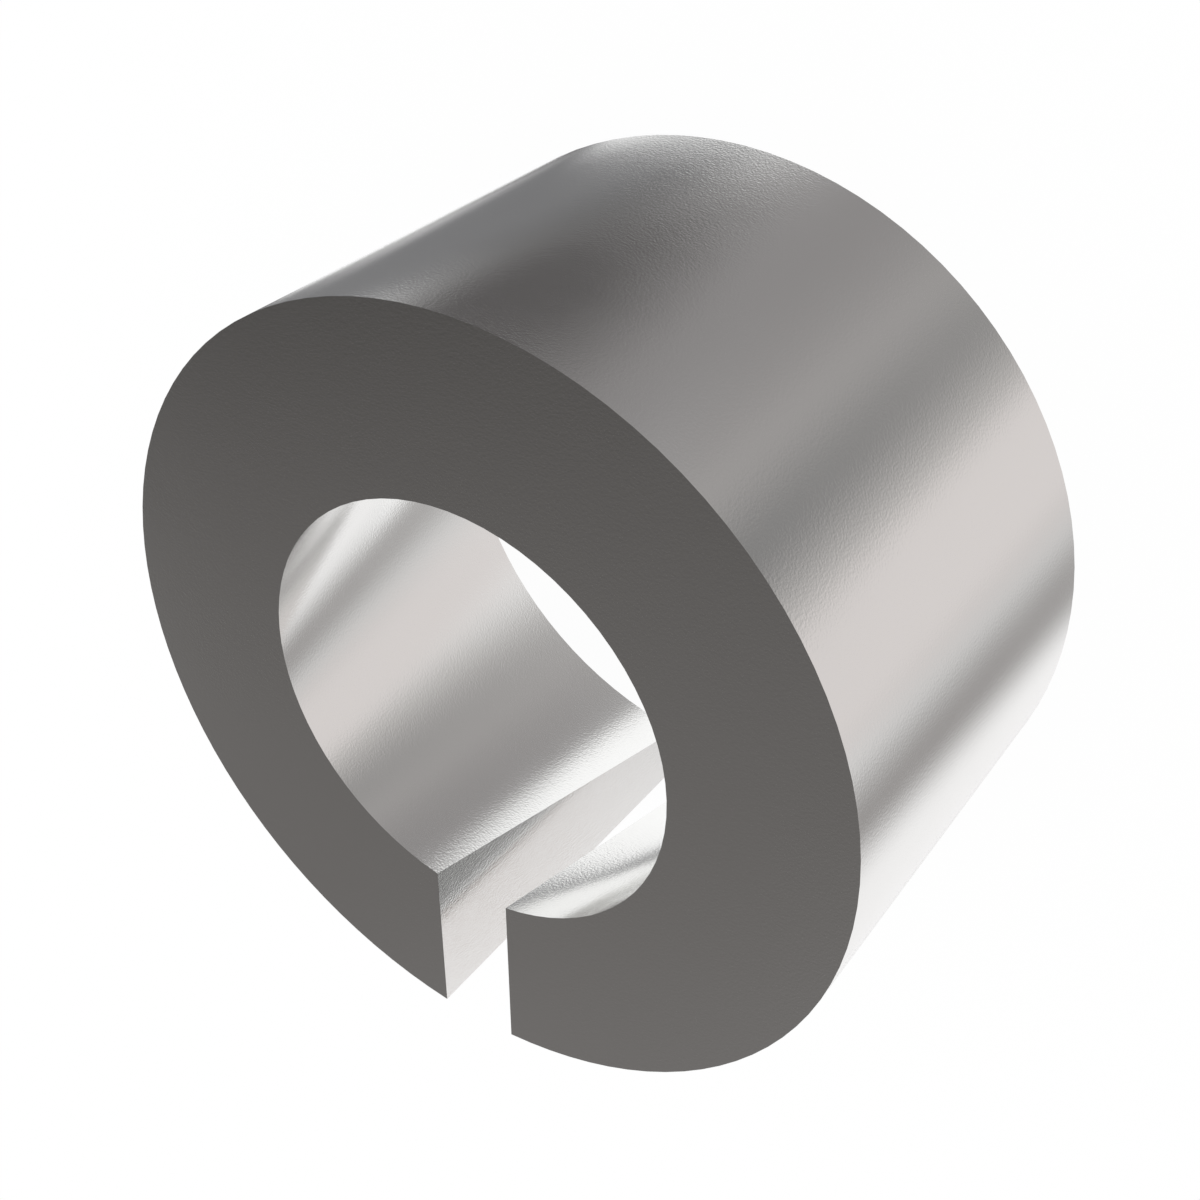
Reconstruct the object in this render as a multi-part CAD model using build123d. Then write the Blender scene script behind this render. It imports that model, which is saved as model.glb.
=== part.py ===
from build123d import *
import math
import os

# Tapered sleeve: a short steel ring, turned and bored in one piece and sawn through along its length.
# The outside is a plain cylinder and the bore is a cone, so the wall thickens towards the small end.
# A cone drawn into the wide end of the bore spreads the split sleeve inside its hole.
# Every edge is left square and sharp, where the flat ends, the two round walls and the saw cut meet.
# The origin is on the bore axis at the wide end, +Z runs towards the small end, and the slot faces -Y.

# Driving dimensions, in millimetres and degrees
outside_diameter = 20.0
length = 11.2
rim_wall = 1.5
taper_per_side = 15.0
slot_width = 2.1

# The bore, worked out from the wall left at the wide end and from the taper
outside_radius = outside_diameter / 2
wide_bore_radius = outside_radius - rim_wall
small_bore_radius = wide_bore_radius - length * math.tan(math.radians(taper_per_side))

# How far the saw cut runs past the outside and past both ends
saw_overrun = 1.0


def turned_ring():
    """The wall's section spun about the bore axis: straight outside, slanted inside, with two flat ends."""
    section = Polyline(
        (wide_bore_radius, 0),
        (outside_radius, 0),
        (outside_radius, length),
        (small_bore_radius, length),
        close=True,
    )
    return revolve(make_face(Plane.XZ * section), Axis.Z)


def saw_cut():
    """A straight slot with parallel sides, from the bore axis out through the wall on the -Y side."""
    depth = outside_radius + saw_overrun
    height = length + 2 * saw_overrun
    return Pos(0, -depth / 2, length / 2) * Box(slot_width, depth, height)


os.makedirs("parts", exist_ok=True)
sleeve = turned_ring() - saw_cut()
export_step(sleeve, "parts/sleeve.step")
print("small bore diameter", round(2 * small_bore_radius, 3), "wide bore diameter", 2 * wide_bore_radius)
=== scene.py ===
from math import cos, radians, sin

import bpy
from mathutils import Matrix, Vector


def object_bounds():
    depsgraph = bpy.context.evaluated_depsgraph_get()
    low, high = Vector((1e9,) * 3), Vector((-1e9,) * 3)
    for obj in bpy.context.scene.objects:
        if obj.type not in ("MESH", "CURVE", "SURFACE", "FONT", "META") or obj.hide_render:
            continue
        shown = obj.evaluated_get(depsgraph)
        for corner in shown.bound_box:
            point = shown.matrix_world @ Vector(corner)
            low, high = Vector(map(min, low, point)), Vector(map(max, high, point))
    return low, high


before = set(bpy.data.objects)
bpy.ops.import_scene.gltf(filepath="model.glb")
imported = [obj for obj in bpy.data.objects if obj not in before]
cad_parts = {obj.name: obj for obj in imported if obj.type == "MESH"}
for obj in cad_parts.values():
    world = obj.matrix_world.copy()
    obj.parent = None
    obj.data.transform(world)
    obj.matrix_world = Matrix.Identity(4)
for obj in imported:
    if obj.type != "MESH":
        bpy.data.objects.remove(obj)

cad_low, cad_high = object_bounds()

# The sleeve
# A short ring of bright steel, turned and bored in one piece and then sawn through along its length.
# The outside and the bore are left smooth and true, with a fine satin grain that frosts what they mirror.
steel_colour = (0.88, 0.88, 0.87, 1.0)
taper_per_side = 15.0
wall_likeness = 0.8
grain_size = 0.00006
grain_depth = 0.0000024
grain_detail = 1.0
cloud_size = 0.002
cloud_low = 0.3
cloud_high = 0.7
clear_roughness = 0.13
dull_roughness = 0.15


def wire(tree, start, end):
    """Joins two sockets of a node tree, each given as (node, socket name or number)."""
    tree.links.new(start[0].outputs[start[1]], end[0].inputs[end[1]])


steel = bpy.data.materials.new("turned_steel")
steel.use_nodes = True
skin = steel.node_tree
shader = skin.nodes["Principled BSDF"]
shader.inputs["Base Color"].default_value = steel_colour
shader.inputs["Metallic"].default_value = 1.0


def skin_step(operation, first, second, third=None):
    """One step of vector work in the steel's nodes, on sockets or on plain values."""
    made = skin.nodes.new("ShaderNodeVectorMath")
    made.operation = operation
    for socket, given in enumerate((first, second, third)):
        if given is None:
            continue
        if isinstance(given[1], str):
            wire(skin, given, (made, socket))
        else:
            made.inputs[socket].default_value = given
    return made


# The turned walls face where a lathe leaves them facing: straight out, and in the bore square to its taper
place = skin.nodes.new("ShaderNodeTexCoord")
facet = skin.nodes.new("ShaderNodeNewGeometry")
flat_place = skin_step("MULTIPLY", (place, "Object"), (1.0, 1.0, 0.0))
outward = skin_step("NORMALIZE", (flat_place, "Vector"), None)
inward = -cos(radians(taper_per_side))
downward = (0.0, 0.0, -sin(radians(taper_per_side)))
bored = skin_step("MULTIPLY_ADD", (outward, "Vector"), (inward, inward, inward), downward)
true_normal = (facet, "True Normal")
for wall in (outward, bored):
    likeness = skin_step("DOT_PRODUCT", (facet, "True Normal"), (wall, "Vector"))
    on_wall = skin.nodes.new("ShaderNodeMath")
    on_wall.operation = "GREATER_THAN"
    on_wall.inputs[1].default_value = wall_likeness
    wire(skin, (likeness, "Value"), (on_wall, 0))
    chosen = skin.nodes.new("ShaderNodeMix")
    chosen.data_type = "VECTOR"
    wire(skin, (on_wall, "Value"), (chosen, 0))
    wire(skin, true_normal, (chosen, 4))
    wire(skin, (wall, "Vector"), (chosen, 5))
    true_normal = (chosen, 1)

# The satin grain is a fine bump, and the finish is a little duller in soft clouds
grain = skin.nodes.new("ShaderNodeTexNoise")
grain.inputs["Scale"].default_value = 1 / grain_size
grain.inputs["Detail"].default_value = grain_detail
wire(skin, (place, "Object"), (grain, "Vector"))
frost = skin.nodes.new("ShaderNodeBump")
frost.inputs["Strength"].default_value = 1.0
frost.inputs["Distance"].default_value = grain_depth
wire(skin, (grain, "Fac"), (frost, "Height"))
wire(skin, true_normal, (frost, "Normal"))
wire(skin, (frost, "Normal"), (shader, "Normal"))

clouds = skin.nodes.new("ShaderNodeTexNoise")
clouds.inputs["Scale"].default_value = 1 / cloud_size
wire(skin, (place, "Object"), (clouds, "Vector"))
finish = skin.nodes.new("ShaderNodeMapRange")
finish.inputs["From Min"].default_value = cloud_low
finish.inputs["From Max"].default_value = cloud_high
finish.inputs["To Min"].default_value = clear_roughness
finish.inputs["To Max"].default_value = dull_roughness
wire(skin, (clouds, "Fac"), (finish, "Value"))
wire(skin, (finish, "Result"), (shader, "Roughness"))

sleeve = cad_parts["sleeve"]
sleeve.material_slots[0].material = steel

# The floor
# A white sheet that the sleeve stands on, lit from within, which keeps a faint share of the sleeve's shadow.
# The metal looks past it to the tent all round, and the camera looks through it from below, as through
# clear glass. It lies a hair under the wide end, so that the two flats aren't drawn in one plane.
floor_size = 4.0
floor_gap = 0.00001
floor_shadow = 0.03
floor_white = (1.0, 1.0, 1.0, 1.0)

bpy.ops.object.select_all(action="DESELECT")
bpy.ops.mesh.primitive_plane_add(size=floor_size, location=(0, 0, cad_low.z - floor_gap))
floor = bpy.context.active_object
floor.name = "floor"
bpy.ops.object.transform_apply(location=True, rotation=False, scale=False)
floor.visible_glossy = False
floor.visible_shadow = False

sheet = bpy.data.materials.new("white_sheet")
sheet.use_nodes = True
sheet.node_tree.nodes.clear()
glow = sheet.node_tree.nodes.new("ShaderNodeEmission")
glow.inputs["Color"].default_value = floor_white
matt = sheet.node_tree.nodes.new("ShaderNodeBsdfDiffuse")
matt.inputs["Color"].default_value = floor_white
mixed = sheet.node_tree.nodes.new("ShaderNodeMixShader")
mixed.inputs["Fac"].default_value = floor_shadow
side = sheet.node_tree.nodes.new("ShaderNodeNewGeometry")
clear = sheet.node_tree.nodes.new("ShaderNodeBsdfTransparent")
seen_through = sheet.node_tree.nodes.new("ShaderNodeMixShader")
output = sheet.node_tree.nodes.new("ShaderNodeOutputMaterial")
wire(sheet.node_tree, (glow, "Emission"), (mixed, 1))
wire(sheet.node_tree, (matt, "BSDF"), (mixed, 2))
wire(sheet.node_tree, (side, "Backfacing"), (seen_through, 0))
wire(sheet.node_tree, (mixed, "Shader"), (seen_through, 1))
wire(sheet.node_tree, (clear, "BSDF"), (seen_through, 2))
wire(sheet.node_tree, (seen_through, "Shader"), (output, "Surface"))
floor.data.materials.append(sheet)

# The light
# A white tent all round at plain strength, with grey and light cards hung in it a metre from the sleeve.
# The camera, the floor and glass see the white tent alone. The metal shows the cards in front of it too.


def make_card_group():
    """A flat oval card with soft edges, a metre off in one direction, painted over what hangs behind it."""
    group = bpy.data.node_groups.new("card", "ShaderNodeTree")
    sockets = [
        ("Behind", "NodeSocketColor"),
        ("Card", "NodeSocketColor"),
        ("Direction", "NodeSocketVector"),
        ("Towards", "NodeSocketVector"),
        ("Along", "NodeSocketVector"),
        ("Half Length", "NodeSocketFloat"),
        ("Half Width", "NodeSocketFloat"),
        ("Softness", "NodeSocketFloat"),
    ]
    for name, kind in sockets:
        group.interface.new_socket(name, in_out="INPUT", socket_type=kind)
    group.interface.new_socket("Colour", in_out="OUTPUT", socket_type="NodeSocketColor")
    start = group.nodes.new("NodeGroupInput")
    end = group.nodes.new("NodeGroupOutput")

    def vector_step(operation, first, second):
        made = group.nodes.new("ShaderNodeVectorMath")
        made.operation = operation
        wire(group, first, (made, 0))
        wire(group, second, (made, 1))
        return made

    def step(operation, first, second):
        made = group.nodes.new("ShaderNodeMath")
        made.operation = operation
        for socket, given in enumerate((first, second)):
            if isinstance(given, tuple):
                wire(group, given, (made, socket))
            else:
                made.inputs[socket].default_value = given
        return made

    across = vector_step("CROSS_PRODUCT", (start, "Towards"), (start, "Along"))
    facing = vector_step("DOT_PRODUCT", (start, "Direction"), (start, "Towards"))
    along_part = vector_step("DOT_PRODUCT", (start, "Direction"), (start, "Along"))
    across_part = vector_step("DOT_PRODUCT", (start, "Direction"), (across, "Vector"))
    reach_along = step("MULTIPLY", (facing, "Value"), (start, "Half Length"))
    reach_across = step("MULTIPLY", (facing, "Value"), (start, "Half Width"))
    x = step("DIVIDE", (along_part, "Value"), (reach_along, "Value"))
    y = step("DIVIDE", (across_part, "Value"), (reach_across, "Value"))
    spot = group.nodes.new("ShaderNodeCombineXYZ")
    wire(group, (x, "Value"), (spot, "X"))
    wire(group, (y, "Value"), (spot, "Y"))
    distance = group.nodes.new("ShaderNodeVectorMath")
    distance.operation = "LENGTH"
    wire(group, (spot, "Vector"), (distance, 0))
    inner = step("SUBTRACT", 1.0, (start, "Softness"))
    outer = step("ADD", 1.0, (start, "Softness"))
    edge = group.nodes.new("ShaderNodeMapRange")
    edge.interpolation_type = "SMOOTHSTEP"
    wire(group, (distance, "Value"), (edge, "Value"))
    wire(group, (inner, "Value"), (edge, "From Min"))
    wire(group, (outer, "Value"), (edge, "From Max"))
    edge.inputs["To Min"].default_value = 1.0
    edge.inputs["To Max"].default_value = 0.0
    in_front = step("GREATER_THAN", (facing, "Value"), 0.0)
    cover = step("MULTIPLY", (edge, "Result"), (in_front, "Value"))
    over = group.nodes.new("ShaderNodeMix")
    over.data_type = "RGBA"
    wire(group, (cover, "Value"), (over, 0))
    wire(group, (start, "Behind"), (over, 6))
    wire(group, (start, "Card"), (over, 7))
    wire(group, (over, 2), (end, "Colour"))
    return group


card_group = make_card_group()
tent_white = (1.0, 1.0, 1.0, 1.0)

studio = bpy.data.worlds.new("tent")
studio.use_nodes = True
studio.cycles.sampling_method = "NONE"
bpy.context.scene.world = studio
tent = studio.node_tree
direction = tent.nodes.new("ShaderNodeTexCoord")
hung = None


def hang_card(turn, rise, lean, half_size, softness, colour):
    """Hangs a card. As the camera sees it, turn and lean go right and rise goes up, in degrees.

    The half length and half width are in metres, and the softness is a share of them.
    """
    global hung
    turned, raised, leant = radians(turn), radians(rise), radians(lean)
    towards = Vector((cos(raised) * sin(turned), sin(raised), -cos(raised) * cos(turned)))
    level = Vector((cos(turned), 0, sin(turned)))
    along = level * cos(leant) + level.cross(towards) * sin(leant)
    card = tent.nodes.new("ShaderNodeGroup")
    card.node_tree = card_group
    if hung is None:
        card.inputs["Behind"].default_value = tent_white
    else:
        wire(tent, (hung, "Colour"), (card, "Behind"))
    card.inputs["Card"].default_value = (*colour, 1.0)
    wire(tent, (direction, "Generated"), (card, "Direction"))
    card.inputs["Towards"].default_value = towards
    card.inputs["Along"].default_value = along
    card.inputs["Half Length"].default_value = half_size[0]
    card.inputs["Half Width"].default_value = half_size[1]
    card.inputs["Softness"].default_value = softness
    hung = card


# A long grey sheet on the right, mirrored along the middle of the outside and of the bore
hang_card(turn=62, rise=11, lean=-25, half_size=(2.9, 0.44), softness=0.3, colour=(0.52, 0.50, 0.49))
# A darker sheet overhead, for the upper part of the outside and the lower part of the bore
hang_card(turn=-2, rise=61, lean=75, half_size=(1.25, 0.65), softness=0.8, colour=(0.26, 0.25, 0.25))
# A dark sheet on the left with a darker strip at its top, for the top left of the outside
hang_card(turn=-35, rise=-10, lean=65, half_size=(0.75, 0.43), softness=0.1, colour=(0.195, 0.195, 0.20))
hang_card(turn=-33, rise=30, lean=40, half_size=(0.35, 0.12), softness=0.7, colour=(0.095, 0.09, 0.09))
# A white card in front of that sheet, for the bright band of the bore beside the slot
hang_card(turn=-24, rise=7, lean=60, half_size=(0.40, 0.20), softness=0.1, colour=(1.1, 1.1, 1.1))
# A pale card on the right, for the broad light band down the outside and the bore
hang_card(turn=38, rise=-5, lean=-5, half_size=(0.39, 0.24), softness=0.3, colour=(0.74, 0.70, 0.69))
# Two dark strips with very soft edges, which shade that light band above and below
hang_card(turn=67, rise=26, lean=0, half_size=(0.9, 0.17), softness=0.9, colour=(0.18, 0.18, 0.18))
hang_card(turn=48, rise=-36, lean=-15, half_size=(0.95, 0.22), softness=0.9, colour=(0.31, 0.295, 0.29))
# A white strip low down with a brown scrap on it, for the foot of the outside and the wall of the slot
hang_card(turn=23, rise=-50, lean=-10, half_size=(2.3, 0.23), softness=0.6, colour=(0.95, 0.94, 0.94))
hang_card(turn=40.3, rise=-44.3, lean=-45, half_size=(0.10, 0.012), softness=0.7, colour=(0.18, 0.08, 0.04))
# A dark card low on the left, for the shade in the inner corner of the slot
hang_card(turn=-69, rise=-42, lean=26, half_size=(1.05, 0.31), softness=0.1, colour=(0.12, 0.12, 0.12))
# A white strip low on the left, for the thin bright line along the top left of the outside
hang_card(turn=-19, rise=-27, lean=-15, half_size=(0.55, 0.12), softness=0.1, colour=(1.1, 1.1, 1.1))
# Two dark sheets behind the camera, the darker one on the upper side, for the flat face of the small end
hang_card(turn=-157, rise=19, lean=-80, half_size=(3.1, 1.06), softness=0.35, colour=(0.072, 0.069, 0.067))
hang_card(turn=144, rise=-60, lean=-30, half_size=(3.1, 0.68), softness=0.9, colour=(0.165, 0.157, 0.153))
# A grey card straight over the sleeve, which that face mirrors when it is looked down on
hang_card(turn=180, rise=0, lean=0, half_size=(0.5, 0.5), softness=0.5, colour=(0.45, 0.44, 0.43))

path = tent.nodes.new("ShaderNodeLightPath")
seen = tent.nodes.new("ShaderNodeMix")
seen.data_type = "RGBA"
seen.inputs[6].default_value = tent_white
wire(tent, (path, "Is Glossy Ray"), (seen, 0))
wire(tent, (hung, "Colour"), (seen, 7))
wire(tent, (seen, 2), (tent.nodes["Background"], "Color"))

# The camera
# It looks down the bore from the small end, turned aside and raised, with the slot pointing straight down.
# It has a plain 50 mm lens, and stands so near that the sleeve fills its frame.
camera_place = (0.019065, 0.023766, 0.033638)
camera_rise = 35.0
camera_turn = 34.22
lens_length = 50
film_width = 36
nearest_seen = 0.001

eye = bpy.data.cameras.new("camera")
eye.lens = lens_length
eye.sensor_width = film_width
eye.clip_start = nearest_seen
camera = bpy.data.objects.new("camera", eye)
camera.location = camera_place
camera.rotation_euler = (radians(-camera_rise), radians(camera_turn), 0)
bpy.context.scene.collection.objects.link(camera)
bpy.context.scene.camera = camera
bpy.context.scene.view_settings.view_transform = "Standard"
